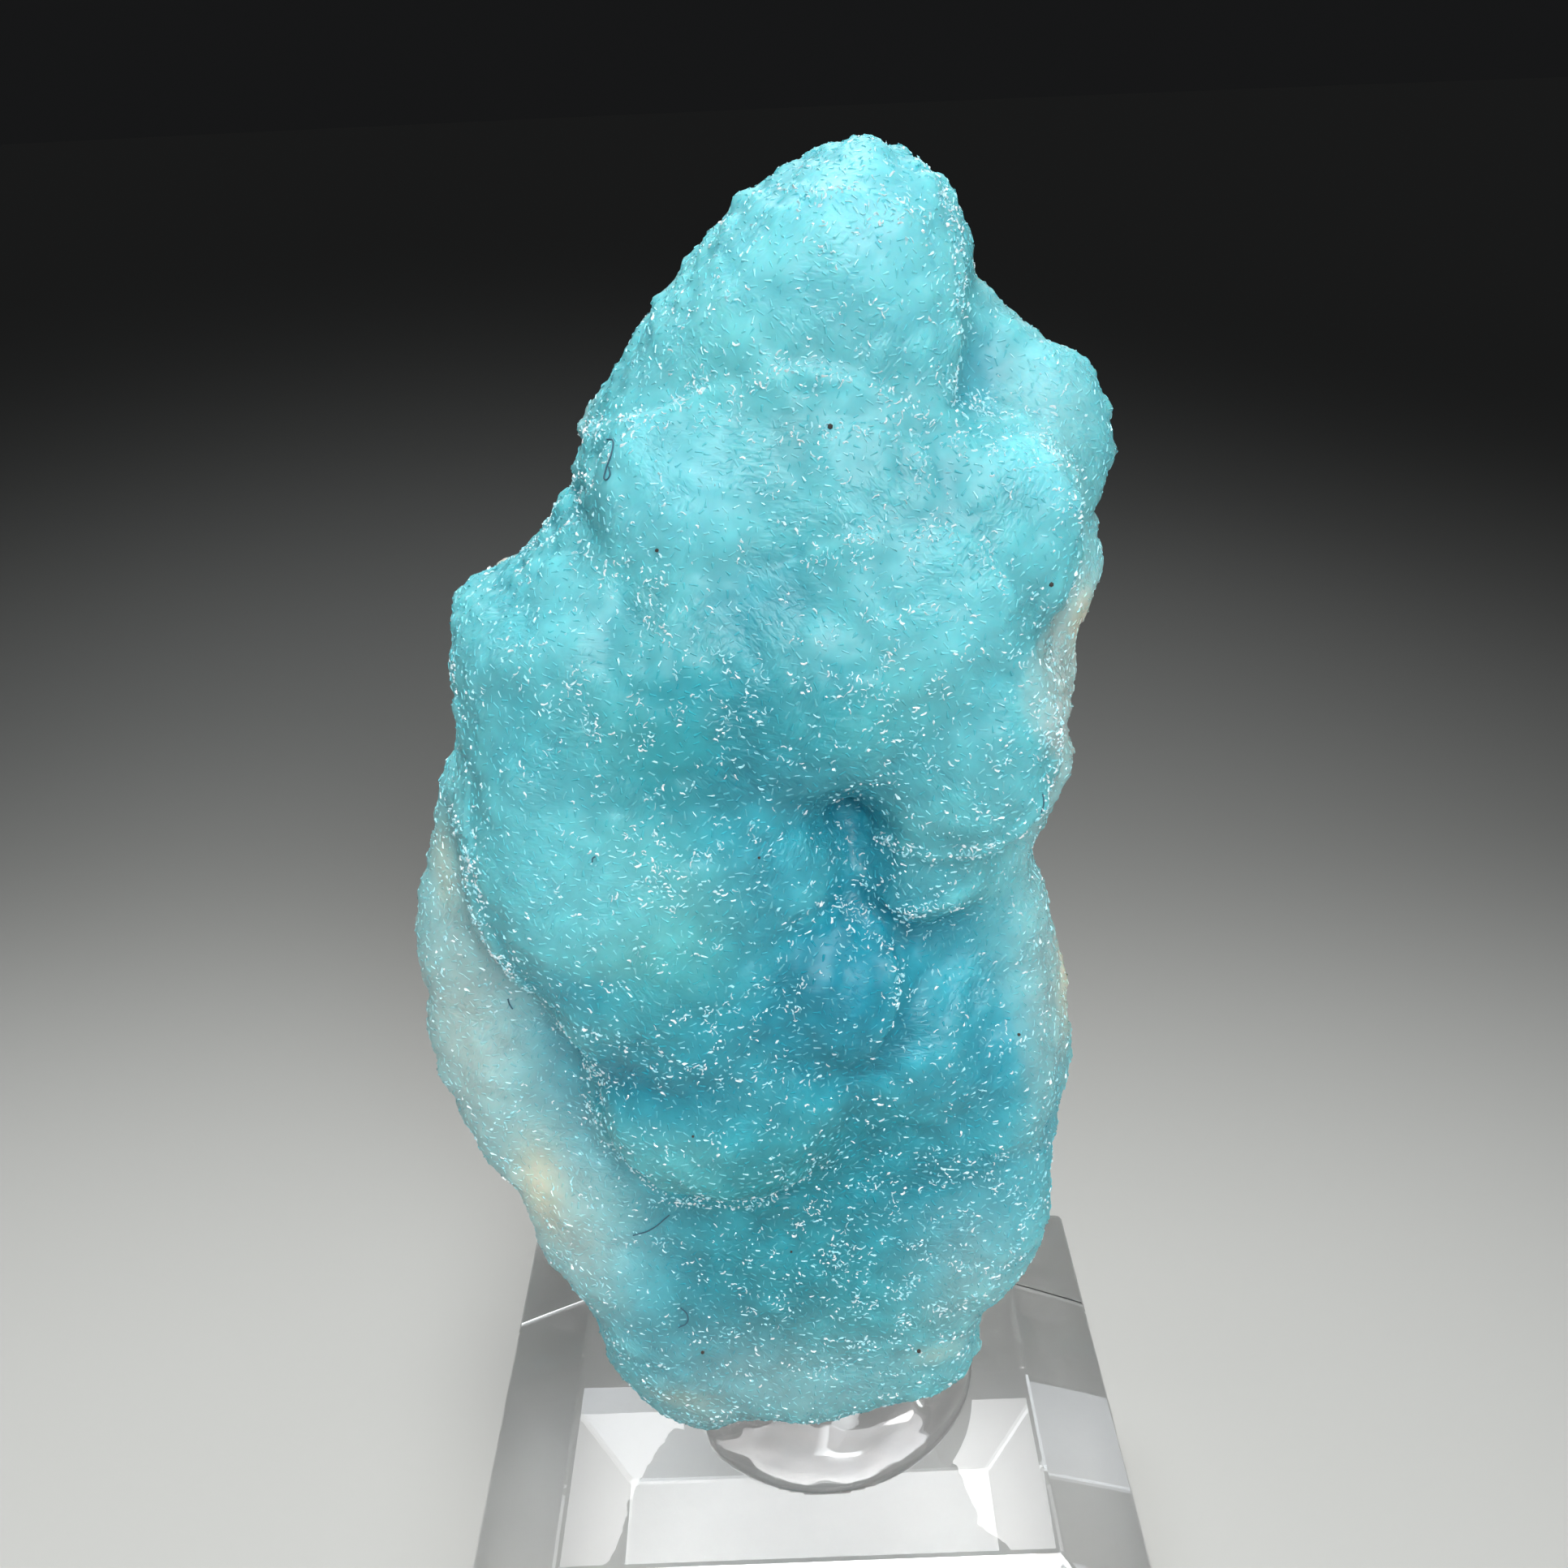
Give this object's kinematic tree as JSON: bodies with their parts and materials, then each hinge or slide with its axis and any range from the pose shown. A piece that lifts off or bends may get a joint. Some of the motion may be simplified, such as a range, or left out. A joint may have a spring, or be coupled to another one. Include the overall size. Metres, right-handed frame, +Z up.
{
  "type": "hemimorphite specimen on a display block",
  "caption": "Botryoidal blue crystal crust standing upright in clear tack on a bevelled clear square display block.",
  "frame": {"origin": "centre of the display block's underside", "axes": "+Z up along the standing crust, -Y towards the side that its crystals face, +X to the right of that side"},
  "size_m": [0.038, 0.038, 0.0893],
  "materials": {
    "hemimorphite": "glittering translucent crystal crust",
    "clear_tack": "clear soft gel, glossy",
    "clear_acrylic": "clear polished acrylic"
  },
  "bodies": {
    "root": {"hemimorphite": "hemimorphite", "mineral_tack": "clear_tack", "acrylic_base": "clear_acrylic"}
  },
  "joints": []
}
